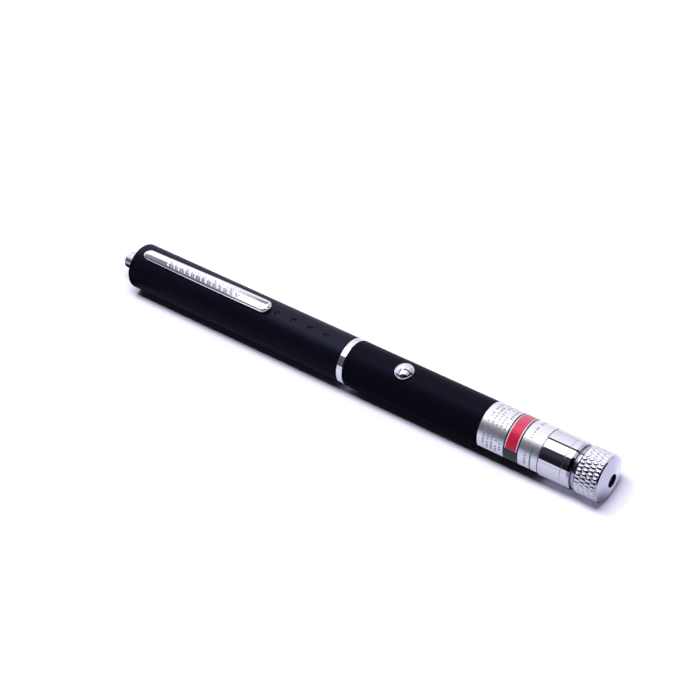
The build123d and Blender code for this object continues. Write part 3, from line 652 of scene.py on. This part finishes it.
# Painted shade: this front copy of the lacquer has a weaker sheen than the rear copy, for the dimmer light
# along the front barrel.
front_lacquer = soft_touch("front_soft_touch_lacquer", (0.004, 0.004, 0.0082), 0.1)
dressed(front_barrel, front_lacquer, "front_section", "front_barrel", slot="soft_touch_black")

# Push button: a domed chromed cap that stands out of the hole, on the black plunger of the switch below it.
# Its flange is wider than the hole and keeps it in.

dome_top, dome_radius, dome_square, dome_fourth = 8.27, 2.62, 0.075, 0.0075
cap_radius, cap_edge_height, cap_edge_width, cap_edge_start = 2.85, 0.2, 0.23, 0.35
cap_flange_radius, cap_flange_top, cap_flange_bottom = 3.5, 4.449, 3.849


def button_dome():
    """The cap about its own upright axis: a side wall, a small rounded edge and a dome that falls off with
    the square and the fourth power of the distance from its middle."""
    reach = np.linspace(0, dome_radius, 22)
    top = dome_top - dome_square * reach**2 - dome_fourth * reach**4
    turn = np.linspace(cap_edge_start, np.pi / 2, 6)
    edge_across = cap_radius - cap_edge_width * (1 - np.sin(turn))
    edge_up = top[-1] - cap_edge_height + cap_edge_height * np.cos(turn)
    side_across = [cap_radius, cap_radius, cap_flange_radius, cap_flange_radius, 0]
    side_up = [BARREL_RADIUS, cap_flange_top, cap_flange_top, cap_flange_bottom, cap_flange_bottom]
    across = np.concatenate([reach, edge_across, side_across])[:, None]
    up = np.concatenate([top, edge_up, side_up])
    angle = np.linspace(0, FULL_TURN, 97)
    return placed(button_place + across * np.cos(angle), across * np.sin(angle), up[:, None])


button = shell("push_button_cap", button_dome(), crease=50)
button_chrome = plated("button_chrome", (0.84, 0.84, 0.88), 0.045, 0.03)
dressed(button, button_chrome, "push_button", "button_cap", slot="chrome")
black_plastic = moulded("black_moulded_plastic", (0.02, 0.02, 0.022), 0.4)
stainless = plated("stainless_sheet", (0.66, 0.65, 0.64), 0.22, 0.1, 0.000002)
finished(["switch_plunger", "switch_base", "driver_chip", "resistors"], black_plastic)
finished(["switch_cover", "switch_dome"], stainless)

# Circuit board and battery contact: green glass-fibre laminate with soldered parts, and a brass rivet in the
# round board that the front cell's nub presses on.


def laminate():
    """Green solder mask over the woven laminate: darker and lighter threads cross each other faintly."""
    finish = Finish("green_laminate", (0.02, 0.16, 0.06), 0.35, coat_weight=0.3)
    threads = {"Vector": finish.place, "Scale": 900.0}
    weave, cross = (finish.add("ShaderNodeTexWave", "Fac", {"bands_direction": way}, threads) for way in "XY")
    finish.set("Base Color", finish.mixed(weave * cross, (0.015, 0.13, 0.05), (0.04, 0.22, 0.09)))
    return finish.material


finished(["circuit_board", "contact_disc"], laminate())
finished(["contact_rivet", "trimmer_rotor"], machined_brass)
finished(["trimmer_base"], moulded("blue_moulded_plastic", (0.03, 0.1, 0.4), 0.35))
finished(["capacitors"], moulded("brown_ceramic", (0.35, 0.22, 0.12), 0.55))

# Laser module: brass housing and holders round a gold-plated diode can, the crystal and the lenses. It sits
# in the bores of the front barrel and the nose sleeve.

gold_plate = plated("gold_plate", (0.9, 0.68, 0.3), 0.12, 0.05)
finished(["module_housing", "crystal_holder", "expander_holder", "collimator_holder"], machined_brass)
finished(["diode_can", "diode_leads"], gold_plate)


def clear(name, colour, index):
    """Glass, with a faint uneven polish."""
    finish = Finish(name, colour, 0.02, ior=index, transmission_weight=1.0)
    finish.set("Roughness", finish.noise(500, 2.0).over(0.5, 0.8) * 0.05 + 0.01)
    return finish.material


finished(["expander_lens", "collimating_lens"], clear("coated_lens_glass", (0.9, 0.95, 1.0), 1.52))
finished(["infrared_filter"], clear("blue_filter_glass", (0.45, 0.85, 0.8), 1.5))
finished(["crystal_block"], clear("lilac_crystal", (0.85, 0.7, 0.95), 2.0))
finished(["fixed_grating", "turning_grating"], clear("grating_film", (0.03, 0.04, 0.09), 1.45))

# Label foil: self-adhesive silver foil, wrapped round the barrel in its own shallow seat and printed with
# plain bands and rows of short bars. It leaves a strip open low on the near side.

foil_rear, foil_front = span("label_foil")
foil_round, foil_start, foil_end = 0.03, -203.0, 97.0
print_pitch, bar_length, row_shift = 1.35, 0.9, 0.37
rear_rows, front_rows, charcoal_band, green_line = (1.35, 8.1), (14.85, 16.2), (8.5, 13.3), (17.0, 17.35)
white_band, red_band, print_edge, row_edge = (9.0, 12.8), (9.25, 12.55), 0.04, 0.01


def printed_foil():
    """Silver foil with soft streaks along the pen. Its print is set by the place along it: a charcoal band
    with a red one between white lines, which ends low on the side, a short green line, and rows of bars of
    uneven length. The row and the bar's number give the length, and one bar in six is left out."""
    finish = Finish("printed_silver_foil", (0.8, 0.8, 0.83), 0.36, metallic=1.0)
    along, angle, _ = finish.axes()
    streaks = finish.noise(1.0, 2.0, finish.stretched(25, 900, 900))
    metal = finish.mixed(streaks.over(0.3, 0.7), (0.93, 0.93, 0.97), (1, 1, 1))
    # Painted reflection: a bluish, slightly darker band of the foil on the near side, set by the angle about
    # the axis.
    metal = finish.mixed(angle.within(0.65, 0.95, 0.2), metal, (0.88, 0.89, 1.0))
    place = along - foil_rear
    row = place // print_pitch
    bar = angle * (BARREL_RADIUS / bar_length) + row * row_shift
    spot = finish.add("ShaderNodeCombineXYZ", 0, {}, {"X": row, "Y": bar // 1})
    chance = finish.add("ShaderNodeTexWhiteNoise", "Value", {}, {"Vector": spot})
    bars = (bar - bar // 1).worked("LESS_THAN", chance * 0.45 + 0.4) * chance.worked("GREATER_THAN", 0.16)
    bars = bars * (place / print_pitch - row).within(0.3, 0.7, 0.08) * abs(angle - 0.25).over(1.3, 1.28)
    bars = bars * place.within(*rear_rows, row_edge).or_more(place.within(*front_rows, row_edge)) * 0.58
    near_side, green = angle.over(1.12, 1.1), angle.over(0.6, 0.65)
    red = finish.mixed(angle.over(0.3, -0.9), (0.64, 0.02, 0.07), (0.8, 0.19, 0.3))
    bands = [(charcoal_band, 1, (0.03, 0.03, 0.05)), (white_band, near_side, (0.85, 0.83, 0.9))]
    bands += [(red_band, near_side, red), (green_line, green, (0.02, 0.22, 0.09))]
    colour = finish.mixed(bars, metal, (0.04, 0.04, 0.07))
    for (start, stop), shown, ink in bands:
        colour = finish.mixed(place.within(start, stop, print_edge) * shown, colour, ink)
    dark = bars.or_more(place.within(*charcoal_band, print_edge))
    dark = dark.or_more(place.within(*green_line, print_edge) * green)
    finish.set("Base Color", colour)
    finish.set("Metallic", 0.9 - dark * 0.7)
    finish.set("Roughness", streaks * 0.1 + 0.28)
    finish.bump(finish.noise(500, 2.0), 0.000005)
    return finish.material


def foil_wrap():
    """A sheet of the foil's thickness carried round the pen, short of a full turn. Its outline along the pen
    shrinks to a line at both of its ends, which closes them."""
    corners = [(foil_rear, seat_radius, 0), (foil_rear, BARREL_RADIUS, foil_round)]
    profile = outline(corners + [(foil_front, BARREL_RADIUS, foil_round), (foil_front, seat_radius, 0)])
    angle = np.linspace(*np.radians([foil_start, foil_end]), 161)
    middle = (seat_radius + BARREL_RADIUS) / 2
    closing = [round_the_axis(profile[:, 0], middle, turn)[:, None] for turn in angle[[0, -1]]]
    return np.concatenate([closing[0], swept(profile, angle), closing[1]], axis=1)


foil = shell("label_foil_wrap", foil_wrap())
dressed(foil, printed_foil(), "front_section", "label_foil", slot="label_foil")

# Nose sleeve: turned brass, chromed to a mirror. Its spigot is glued into the front barrel, and the star cap
# screws on to the thread at its front.

nose_rear, nose_end = span("nose_sleeve")
nose_shoulder, nose_front, nose_thread_rear, beam_wall = 68.05, 75.1, 75.6, 73.2
spigot_radius, nose_bore, nose_aperture, neck_root, neck_thread, neck_bevel = 6.18, 5.65, 2.6, 4.8, 0.2, 0.05


def nose_with_thread():
    """The sleeve's outline without its thread, and the thread's rows, as grids that meet."""
    along = np.arange(nose_thread_rear, nose_end, 0.125)
    angle = np.linspace(0, FULL_TURN, 161)
    thread = neck_root + neck_thread * screw_ridge(along, angle, nose_thread_rear, nose_end, thread_pitch)
    neck_front = nose_end - neck_bevel
    corners = [(neck_front, neck_root, 0), (nose_end, neck_root - neck_bevel, 0)]
    corners += [(nose_end, nose_aperture, 0), (beam_wall, nose_aperture, 0), (beam_wall, nose_bore, 0)]
    corners += [(nose_rear, nose_bore, 0), (nose_rear, spigot_radius, 0), (nose_shoulder, spigot_radius, 0)]
    corners += [(nose_shoulder, BARREL_RADIUS, 0.1), (nose_front, BARREL_RADIUS, 0.13)]
    corners.append((nose_front, neck_root, 0))
    start = [(nose_front, neck_root), (nose_thread_rear, neck_root)]
    joint = [(along[-1], neck_root), (neck_front, neck_root)]
    grids = [swept(line, angle) for line in (start, outline(corners)[:-1], joint)]
    return [*grids, round_the_axis(along[:, None], thread, angle)]


nose = shell("nose_sleeve_turned", *nose_with_thread(), crease=40)
dressed(nose, mirror_chrome, "front_section", "nose_sleeve", slot="chrome")

# Star cap base: a chromed ring that screws on to the nose, with a ringed neck and the hub that the head
# turns on.

base_rear, hub_front = span("star_base")
taper_rear, base_front, taper_radius, neck_radius = 77.1, 77.9, 6.7, 6.25
neck_ring_rear, neck_ring_front, neck_ring_radius, base_round, taper_round = 78.7, 79.2, 6.6, 0.08, 0.1
hub_rear, hub_radius, snap_rear, snap_front, snap_radius = 79.4, 5.7, 80.55, 81.25, 5.4
grating_seat, grating_bore, beam_bore, cap_thread_end, cap_thread_bore = 83.6, 3.62, 2.5, 83.0, 5.06
base = [(base_rear, cap_thread_bore, 0), (base_rear, BARREL_RADIUS, base_round)]
base += [(taper_rear, BARREL_RADIUS, taper_round), (base_front, taper_radius, taper_round)]
base += [(base_front, neck_radius, 0), (neck_ring_rear, neck_radius, 0)]
base += [(neck_ring_rear, neck_ring_radius, base_round), (neck_ring_front, neck_ring_radius, base_round)]
base += [(neck_ring_front, neck_radius, 0), (hub_rear, neck_radius, 0), (hub_rear, hub_radius, 0)]
base += [(snap_rear, hub_radius, 0), (snap_rear, snap_radius, 0), (snap_front, snap_radius, 0)]
base += [(snap_front, hub_radius, 0), (hub_front, hub_radius, 0), (hub_front, grating_bore, 0)]
base += [(grating_seat, grating_bore, 0), (grating_seat, beam_bore, 0), (cap_thread_end, beam_bore, 0)]
base.append((cap_thread_end, cap_thread_bore, 0))
star_base = turned("star_cap_base_ring", base)


def ringed_chrome():
    """Mirror chrome, painted darker and lilac on the thin ring and painted dark grey down in the grooves,
    which are
    also a little rougher: painted shade of the recessed neck."""
    bright = (0.86, 0.86, 0.9)
    finish = Finish("ringed_chrome", bright, 0.04, metallic=1.0)
    along, _, reach = finish.axes()
    # Painted shade: from the neck on, the chrome is coloured darker and lilac, and dark grey in its grooves,
    # for the shade in the recess.
    neck = along.over(77.85, 77.88)
    groove_shade = reach.over(6.5, 6.35) * neck
    chrome = finish.mixed(neck, bright, (0.6, 0.59, 0.67))
    finish.set("Base Color", finish.mixed(groove_shade, chrome, (0.3, 0.29, 0.37)))
    finish.set("Roughness", groove_shade * 0.14 + finish.noise(160, 2.0) * 0.04 + 0.02)
    return finish.material


dressed(star_base, ringed_chrome(), "star_cap_base", "star_base", slot="chrome")
finished(["snap_ring"], stainless)

# Star cap head: turned from brass and chromed. Its side is rolled with a knurl of long hexagonal pillows in
# four staggered rings, and its blasted face is a low cone round the beam hole.

head_rear, head_front = span("star_head")
pillows_round, first_turn, pillow_step, pillow_flat, pillow_depth = 34, 0.15, 1.7, 0.58, 0.22
knurl_rear, knurl_front, first_pillow, knurl_fade = 79.72, 86.1, 80.2, 0.08
bevel_rear, bevel_front, bevel_radius, beam_hole, rim_radius = 86.11, 86.53, 6.62, 1.97, 6.5
turning_seat, recess_rear, head_bore = 85.5, 85.0, 5.76
groove_rear, groove_front, groove_radius = 80.5, 81.3, 6.05


def pillow_edge(along, turn, ring):
    """How far a point is from the middle of the nearest pillow of a ring, as a share of the way to the
    hexagon's edge: the larger of the shares to the long and to the slanted sides, a little softened."""
    length = abs(along - first_pillow - ring * pillow_step)
    width = abs((turn + 0.5 * (ring % 2) + 0.5) % 1 - 0.5) * 2
    slant = 1 / (pillow_step - pillow_flat)
    slanted = length * slant + width * (1 - pillow_flat * slant)
    return (width**8 + slanted**8) ** (1 / 8)


def knurled_side():
    """Radius on a grid along and round the head: a pillow sinks with the square of the share of the way to
    its edge, and the nearest pillow of all the rings counts."""
    along = np.linspace(knurl_rear, bevel_rear, 82)
    angle = np.linspace(0, FULL_TURN, pillows_round * 18 + 1)
    turn = angle * pillows_round / FULL_TURN + first_turn
    shares = [pillow_edge(along[:, None], turn, ring) for ring in range(-1, 6)]
    share = np.clip(np.min(shares, axis=0), 0, 1)
    band = np.clip((knurl_front - along) / knurl_fade, 0, 1)[:, None]
    return along, angle, BARREL_RADIUS - pillow_depth * share**2 * band


along, angle, radius = knurled_side()
edge_rows = [(head_rear, rim_radius), (head_rear, 6.78), (79.53, 6.87), (79.6, radius[0] - 0.02)]
edge_rows.append((knurl_rear, radius[0]))
rear = np.stack([round_the_axis(place, reach, angle) for place, reach in edge_rows])
corners = [(bevel_rear, BARREL_RADIUS, 0), (bevel_rear + 0.02, BARREL_RADIUS, 0.01)]
corners += [(bevel_front, bevel_radius, 0.04), (head_front, beam_hole, 0.12), (turning_seat, beam_hole, 0)]
corners += [(turning_seat, grating_bore, 0), (recess_rear, grating_bore, 0), (recess_rear, head_bore, 0)]
corners += [(groove_front, head_bore, 0), (groove_front, groove_radius, 0), (groove_rear, groove_radius, 0)]
corners += [(groove_rear, head_bore, 0), (head_rear, head_bore, 0), (head_rear, rim_radius, 0)]
grids = [round_the_axis(along[:, None], radius, angle), rear, swept(outline(corners)[:-1], angle)]
star_head = shell("star_cap_head_knurled", *grids, crease=60)


def head_metal():
    """Chrome on the side, satin on the face and painted shade in the beam hole, coloured navy black and not
    metal, told apart by the place.
    """
    bright, satin_white, hole_shade_black = (0.86, 0.86, 0.9), (0.82, 0.82, 0.88), (0.012, 0.013, 0.04)
    finish = Finish("knurled_chrome", bright, 0.05, metallic=1.0)
    along, _, reach = finish.axes()
    face = along.over(86.5, bevel_front)
    # Painted shade: the beam hole's wall is coloured black for the dark deep in the hole.
    hole = reach.over(2.06, 2.0) * face
    finish.set("Roughness", face * 0.27 + finish.noise(160, 2.0) * 0.05 + 0.03)
    finish.set("Base Color", finish.mixed(hole, finish.mixed(face, bright, satin_white), hole_shade_black))
    finish.set("Metallic", 1 - hole)
    finish.bump(finish.noise(12000, 1.0) * face, 0.000003)
    return finish.material


dressed(star_head, head_metal(), "star_cap_head", "star_head", slot="chrome")

# Floor: white studio paper laid flat under the pen. It keeps the pen's soft shadow, and the metal mirrors it
# with painted shadow and painted light of its own.


def studio_paper():
    """White to the camera, brighter outwards to make up for the lamps' fall-off. To matt surfaces it is grey,
    or the colour of paper where metal throws it to them. To the metal that mirrors it, it is bright on the
    far side, painted brighter by the head to make up for the shadow there, lilac and painted darker under the
    near side for the pen's shadow, and a dark sheet of painted shade lies beside the tail."""
    black, paper, grey = (0, 0, 0), (0.8, 0.8, 0.86), (0.3, 0.3, 0.34)
    far_side, before_face, painted_light_by_head = (0.89, 0.865, 0.955), (0.68, 0.67, 0.86), (1.0, 0.98, 1.25)
    finish = Finish("studio_paper", paper, 0.9, specular_ior_level=0.0, emission_strength=1.0)
    x, y, _ = finish.parts(finish.place)
    near = abs(y).or_more(0.001)
    # Painted shadow: the mirrored paper darkens close beside the pen and towards the head, for the pen's
    # shadow.
    lilac = finish.mixed(-0.0023 / near + x * -2.0 + 0.87, black, (0.94, 0.93, 1.2))
    ahead = (x - near * 0.15).over(0.076, 0.077)
    by_head = x.over(0.093, 0.088)
    # Painted light: by the head the mirrored paper is brighter than white, to make up for the shadow there.
    far = finish.mixed(ahead, far_side, finish.mixed(by_head, before_face, painted_light_by_head))
    # Painted shadow: ahead of the pen and far out on the near side, the mirrored paper is darker still.
    lilac = finish.mixed(ahead * near.over(0.0095, 0.0115), lilac, (0.38, 0.37, 0.5))
    beyond = (y * (1 - ahead * 0.33) + ahead * 0.001).over(-0.002, 0.002)
    open_floor = ahead * (1 - by_head) * near.over(0.0115, 0.0095)
    mirrored = finish.mixed(beyond.or_more(open_floor), lilac, far)
    # Painted shade: a dark sheet beside the tail, seen only where metal mirrors the paper.
    painted_shade_card = x.within(-0.2, -0.0835, 0.001) * y.within(-0.035, 0.0, 0.003)
    mirrored = finish.mixed(painted_shade_card, mirrored, (0.01, 0.01, 0.015))
    thrown = finish.mixed(finish.light_path("Is Glossy Ray"), grey, paper)
    colour = finish.mixed(finish.mirrored(), thrown, mirrored)
    spread = x * x + y * y
    level = (spread * 2.8).or_less(0.6) * 2 + 1
    white = finish.mixed(level * 0.5, black, (2.04, 2.0, 2.4))
    seen = finish.seen()
    finish.set("Base Color", finish.mixed(seen, colour, white))
    finish.set("Emission Color", finish.mixed(seen * spread.over(0.1, 0.4), black, (1, 1, 1)))
    return finish.material


floor_half = 4
floor_signs = ((-1, -1), (1, -1), (1, 1), (-1, 1))
floor_corners = [(floor_half * along, floor_half * across, 0) for along, across in floor_signs]
floor_mesh = bpy.data.meshes.new("studio_floor")
floor_mesh.from_pydata(floor_corners, [], [(0, 1, 2, 3)])
floor = linked("studio_floor", floor_mesh)
floor.data.materials.append(studio_paper())

# Light: a long lamp overhead with a weaker one beside it on the far side, and a studio painted on the sky for
# the metal to mirror. A wide soft box hangs over the pen, a pale wall stands behind it, and the camera's side
# is dark down to a low white board.


def studio_sky():
    """Brightness by direction: the angle from overhead towards the camera's side in degrees, and how far
    along the pen. The pieces mirror different directions along the pen, so a step there is seen on one piece
    and not on the next. Matt surfaces see only a faint even sky."""
    faint = 0.012
    world = bpy.data.worlds.new("studio_sky")
    world.use_nodes = True
    sky = Recipe(world.node_tree)
    x, y, z = sky.parts(sky.add("ShaderNodeTexCoord", "Generated", {}, {}))
    side = (y * -1).worked("ARCTAN2", z) * (180 / np.pi)
    reach = x / (y * y + z * z) ** 0.5
    tailward, ringward = reach.over(-0.645, -0.655), reach.over(-0.475, -0.495)
    behind_ring, forward = reach.over(-0.56, -0.57), reach.over(-0.03, 0.05)
    on_ring = ringward * (1 - behind_ring)
    box_start = on_ring * 1.5 - behind_ring * 7.8 - 24
    box_end = (reach * -70 - 13).or_more(7.0).or_less(25.0)
    wall_end = on_ring * 11 - behind_ring * 1.5 + tailward * 4.8 - 33.5
    wall = (side - wall_end).over(0.5, -0.5)
    overhead = (side - box_start).over(-0.5, 0.5) * (side - box_end).over(1.5, -1.5) * (1 - wall)
    lit = overhead * (1 - tailward) * (1 - forward)
    beyond = overhead * tailward * (0.11 + reach.over(-0.93, -1.0) * 0.6)
    wall_light = wall * (side.over(-70.0, -40.0) * 0.17 + tailward * 0.2 + 0.83) * (1 - forward * 0.35)
    board = side.over(75.0, 77.0) * (1 - forward * 0.6) * (1 - tailward * 0.8) * 0.68
    dark = ringward * 0.085 + (1 - forward) * (side.over(55.0, 35.0) * 0.033 + faint)
    picture = lit * 2.0 + overhead * forward * 0.6 + beyond + wall_light + board + dark
    shade = reach.within(0.6, 2.2, 0.1) * side.over(-62.0, -57.0) * 0.94
    picture = picture * (1 - shade)
    mirrored, seen = sky.mirrored(), sky.seen()
    by_way_of_matt = sky.light_path("Is Glossy Ray") * (1 - mirrored)
    strength = mirrored * (picture - faint) + by_way_of_matt * 0.5 + faint
    strength = strength * (1 - seen) + seen
    tint = sky.mixed(side.over(-70.0, -30.0), (1.0, 0.97, 1.15), (1.0, 0.99, 1.05))
    tint = sky.mixed(wall, (1.0, 0.97, 1.27), tint)
    tint = sky.mixed(lit.or_more(seen), tint, (1, 1, 1))
    light = sky.add("ShaderNodeBackground", 0, {}, {"Color": tint, "Strength": strength})
    sky.add("ShaderNodeOutputWorld", None, {}, {"Surface": light})
    bpy.context.scene.world = world


studio_sky()
lamp_height = 0.6
lamps = (("main_lamp", 0.48, 0.18, -0.02, 3.62), ("side_lamp", 0.5, 0.15, 0.13, 0.5))
for name, length, width, place, energy in lamps:
    lamp_data = bpy.data.lights.new(name, "AREA")
    lamp_data.shape = "RECTANGLE"
    lamp_data.size, lamp_data.size_y = length, width
    lamp_data.energy = energy
    lamp = linked(name, lamp_data)
    lamp.location = (0, place, lamp_height)
    lamp.visible_camera = False
    lamp.visible_glossy = False

# Camera: a long lens above the near side of the pen's beam end. It looks down across the pen, and the three
# directions of its own axes turn it.

camera_data = bpy.data.cameras.new("camera")
camera_data.sensor_width = 36.0
camera_data.lens = 111.9
camera = linked("camera", camera_data)
right, up, back = (0.8010, 0.5754, -0.1650), (-0.3660, 0.6889, 0.6255), (0.4736, -0.4407, 0.7625)
seat = placed(294.55, -273.2, 478.1)
camera_rows = [(*line, place) for line, place in zip(zip(right, up, back), seat)]
camera.matrix_world = Matrix([*camera_rows, (0, 0, 0, 1)])
bpy.context.scene.camera = camera
bpy.context.scene.view_settings.view_transform = "Standard"
